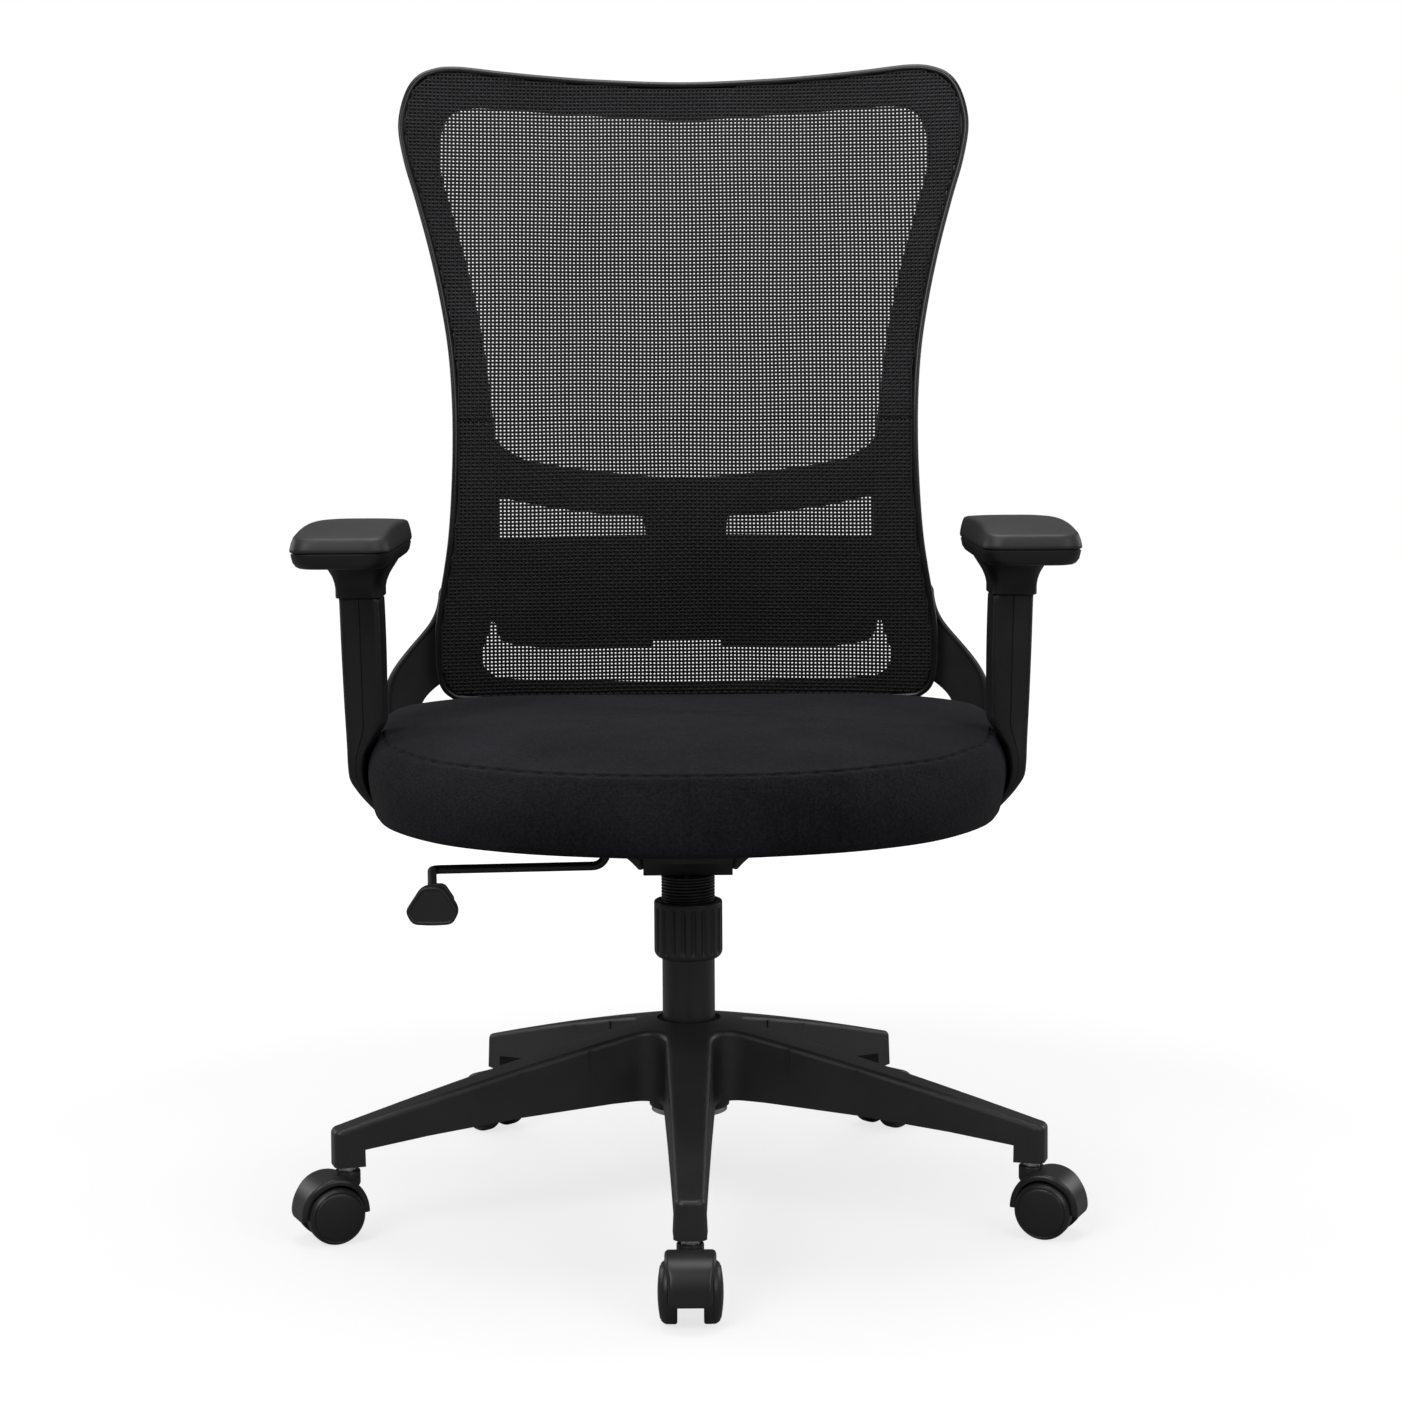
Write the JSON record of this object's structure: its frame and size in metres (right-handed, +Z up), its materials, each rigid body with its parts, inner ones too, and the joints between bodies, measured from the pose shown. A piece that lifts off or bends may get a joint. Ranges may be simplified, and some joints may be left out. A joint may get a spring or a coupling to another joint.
{
  "type": "swivel office chair",
  "caption": "Mesh-back swivel office chair with padded seat, height-adjustable arms, lumbar pad, gas lift, tilt mechanism and five-star base on twin-wheel casters.",
  "frame": {"origin": "on the floor under the gas lift's axis", "axes": "+Z up, -Y is where the sitter faces, +X is the sitter's left"},
  "size_m": [0.6922, 0.7096, 1.0416],
  "materials": {
    "base_plastic": "moulded glass-filled nylon, fine matt grain",
    "caster_plastic": "moulded nylon, satin",
    "wheel_plastic": "moulded wheel with satin face",
    "black_steel": "black powder coat",
    "bright_steel": "ground and polished steel",
    "black_tube": "satin black lacquer",
    "knob_plastic": "moulded plastic, satin",
    "bush_plastic": "acetal",
    "rubber": "moulded rubber",
    "plywood": "bare birch plywood",
    "seat_fabric": "woven cover over moulded foam",
    "mesh_fabric": "open polyester mesh",
    "frame_plastic": "moulded nylon, satin",
    "arm_plastic": "moulded polypropylene, satin",
    "pad_foam": "soft polyurethane skin, fine grain"
  },
  "bodies": {
    "base": {"base_star": "base_plastic", "hub_ring": "black_steel", "gas_outer_tube": "black_tube", "gas_guide_bush": "bush_plastic", "gas_lower_bearing": "bright_steel"},
    "piston": {"gas_piston_rod": "bright_steel", "gas_bump_ring": "rubber", "gas_clip": "bright_steel"},
    "column": {"gas_cylinder": "bright_steel", "cone_socket": "black_steel", "mech_housing": "black_steel", "tension_bolt": "bright_steel", "tension_spring": "black_steel", "lever_bush": "bush_plastic", "pivot_axle": "bright_steel"},
    "valve": {"gas_valve_button": "bright_steel"},
    "tension_nut": {"tension_washer": "bright_steel"},
    "tension_knob": {"tension_knob": "knob_plastic"},
    "lock": {"lock_slide": "black_steel"},
    "lever": {"lever_rod": "black_steel", "lever_paddle": "knob_plastic"},
    "seat": {"seat_plate": "black_steel", "seat_board": "plywood", "seat_cushion": "seat_fabric", "seat_bolts": "bright_steel", "arm_post_right": "arm_plastic", "arm_post_left": "arm_plastic", "back_support_right": "frame_plastic", "back_support_left": "frame_plastic", "back_frame": "frame_plastic", "back_mesh": "mesh_fabric", "back_bolts": "bright_steel"},
    "lumbar": {"lumbar_pad": "frame_plastic"},
    "arm_right": {"arm_upright_right": "arm_plastic", "arm_pad_right": "pad_foam"},
    "arm_left": {"arm_upright_left": "arm_plastic", "arm_pad_left": "pad_foam"},
    "button_right": {"arm_button_right": "arm_plastic"},
    "button_left": {"arm_button_left": "arm_plastic"},
    "caster_1": {"caster_hood_1": "caster_plastic", "caster_stem_and_axle_1": "bright_steel"},
    "wheel_1a": {"caster_wheel_1a": "wheel_plastic"},
    "wheel_1b": {"caster_wheel_1b": "wheel_plastic"},
    "caster_2": {"caster_hood_2": "caster_plastic", "caster_stem_and_axle_2": "bright_steel"},
    "wheel_2a": {"caster_wheel_2a": "wheel_plastic"},
    "wheel_2b": {"caster_wheel_2b": "wheel_plastic"},
    "caster_3": {"caster_hood_3": "caster_plastic", "caster_stem_and_axle_3": "bright_steel"},
    "wheel_3a": {"caster_wheel_3a": "wheel_plastic"},
    "wheel_3b": {"caster_wheel_3b": "wheel_plastic"},
    "caster_4": {"caster_hood_4": "caster_plastic", "caster_stem_and_axle_4": "bright_steel"},
    "wheel_4a": {"caster_wheel_4a": "wheel_plastic"},
    "wheel_4b": {"caster_wheel_4b": "wheel_plastic"},
    "caster_5": {"caster_hood_5": "caster_plastic", "caster_stem_and_axle_5": "bright_steel"},
    "wheel_5a": {"caster_wheel_5a": "wheel_plastic"},
    "wheel_5b": {"caster_wheel_5b": "wheel_plastic"}
  },
  "joints": [
    {"name": "swivel", "type": "hinge", "parent": "base", "child": "piston", "pos_m": [0, 0, 0.2], "axis": [0, 0, 1], "continuous": true},
    {"name": "seat_height", "type": "slide", "parent": "piston", "child": "column", "axis": [0, 0, 1], "range_m": [0, 0.095]},
    {"name": "valve_press", "type": "slide", "parent": "column", "child": "valve", "axis": [0, 0, -1], "range_m": [0, 0.005]},
    {"name": "tension_feed", "type": "slide", "parent": "column", "child": "tension_nut", "axis": [0, 0, 1], "range_m": [0, 0.0075], "deforming": ["tension_spring"]},
    {"name": "tension_turn", "type": "hinge", "parent": "tension_nut", "child": "tension_knob", "pos_m": [0, -0.1, 0.27], "axis": [0, 0, 1], "range_deg": [0, 1800]},
    {"name": "lock_pull", "type": "slide", "parent": "column", "child": "lock", "axis": [-1, 0, 0], "range_m": [0, 0.012]},
    {"name": "lever_lift", "type": "hinge", "parent": "lock", "child": "lever", "pos_m": [0, -0.026, 0.338], "axis": [-1, 0, 0], "range_deg": [0, 9], "stiffness_Nm_per_rad": 1.5, "springref_deg": -5.73},
    {"name": "tilt", "type": "hinge", "parent": "column", "child": "seat", "pos_m": [0, 0.045, 0.339], "axis": [-1, 0, 0], "range_deg": [0, 15], "stiffness_Nm_per_rad": 90, "springref_deg": -17.19},
    {"name": "lumbar_height", "type": "slide", "parent": "seat", "child": "lumbar", "axis": [0, 0, 1], "range_m": [-0.02, 0.02]},
    {"name": "arm_height_right", "type": "slide", "parent": "seat", "child": "arm_right", "axis": [0, 0, 1], "range_m": [0, 0.07]},
    {"name": "arm_button_right", "type": "slide", "parent": "arm_right", "child": "button_right", "axis": [1, 0, 0], "range_m": [0, 0.003], "stiffness_N_per_m": 400},
    {"name": "arm_height_left", "type": "slide", "parent": "seat", "child": "arm_left", "axis": [0, 0, 1], "range_m": [0, 0.07]},
    {"name": "arm_button_left", "type": "slide", "parent": "arm_left", "child": "button_left", "axis": [-1, 0, 0], "range_m": [0, 0.003], "stiffness_N_per_m": 400},
    {"name": "caster_swivel_1", "type": "hinge", "parent": "base", "child": "caster_1", "pos_m": [0, -0.312, 0.07], "axis": [0, 0, 1], "continuous": true},
    {"name": "wheel_spin_1a", "type": "hinge", "parent": "caster_1", "child": "wheel_1a", "pos_m": [0, -0.328, 0.025], "axis": [1, 0, 0], "continuous": true},
    {"name": "wheel_spin_1b", "type": "hinge", "parent": "caster_1", "child": "wheel_1b", "pos_m": [0, -0.328, 0.025], "axis": [1, 0, 0], "continuous": true},
    {"name": "caster_swivel_2", "type": "hinge", "parent": "base", "child": "caster_2", "pos_m": [0.29673, -0.09641, 0.07], "axis": [0, 0, 1], "continuous": true},
    {"name": "wheel_spin_2a", "type": "hinge", "parent": "caster_2", "child": "wheel_2a", "pos_m": [0.31123, -0.10318, 0.025], "axis": [0.4226, 0.9063, 0], "continuous": true},
    {"name": "wheel_spin_2b", "type": "hinge", "parent": "caster_2", "child": "wheel_2b", "pos_m": [0.31123, -0.10318, 0.025], "axis": [0.4226, 0.9063, 0], "continuous": true},
    {"name": "caster_swivel_3", "type": "hinge", "parent": "base", "child": "caster_3", "pos_m": [0.18339, 0.25241, 0.07], "axis": [0, 0, 1], "continuous": true},
    {"name": "wheel_spin_3a", "type": "hinge", "parent": "caster_3", "child": "wheel_3a", "pos_m": [0.1947, 0.26373, 0.025], "axis": [-0.7071, 0.7071, 0], "continuous": true},
    {"name": "wheel_spin_3b", "type": "hinge", "parent": "caster_3", "child": "wheel_3b", "pos_m": [0.1947, 0.26373, 0.025], "axis": [-0.7071, 0.7071, 0], "continuous": true},
    {"name": "caster_swivel_4", "type": "hinge", "parent": "base", "child": "caster_4", "pos_m": [-0.18339, 0.25241, 0.07], "axis": [0, 0, 1], "continuous": true},
    {"name": "wheel_spin_4a", "type": "hinge", "parent": "caster_4", "child": "wheel_4a", "pos_m": [-0.1947, 0.26373, 0.025], "axis": [-0.7071, -0.7071, 0], "continuous": true},
    {"name": "wheel_spin_4b", "type": "hinge", "parent": "caster_4", "child": "wheel_4b", "pos_m": [-0.1947, 0.26373, 0.025], "axis": [-0.7071, -0.7071, 0], "continuous": true},
    {"name": "caster_swivel_5", "type": "hinge", "parent": "base", "child": "caster_5", "pos_m": [-0.29673, -0.09641, 0.07], "axis": [0, 0, 1], "continuous": true},
    {"name": "wheel_spin_5a", "type": "hinge", "parent": "caster_5", "child": "wheel_5a", "pos_m": [-0.31123, -0.10318, 0.025], "axis": [0.4226, -0.9063, 0], "continuous": true},
    {"name": "wheel_spin_5b", "type": "hinge", "parent": "caster_5", "child": "wheel_5b", "pos_m": [-0.31123, -0.10318, 0.025], "axis": [0.4226, -0.9063, 0], "continuous": true}
  ],
  "couplings": [
    {"joint": "valve_press", "follows": "lever_lift", "m_per_rad": 0.0318},
    {"joint": "tension_turn", "follows": "tension_feed", "rad_per_m": 4188.8}
  ]
}
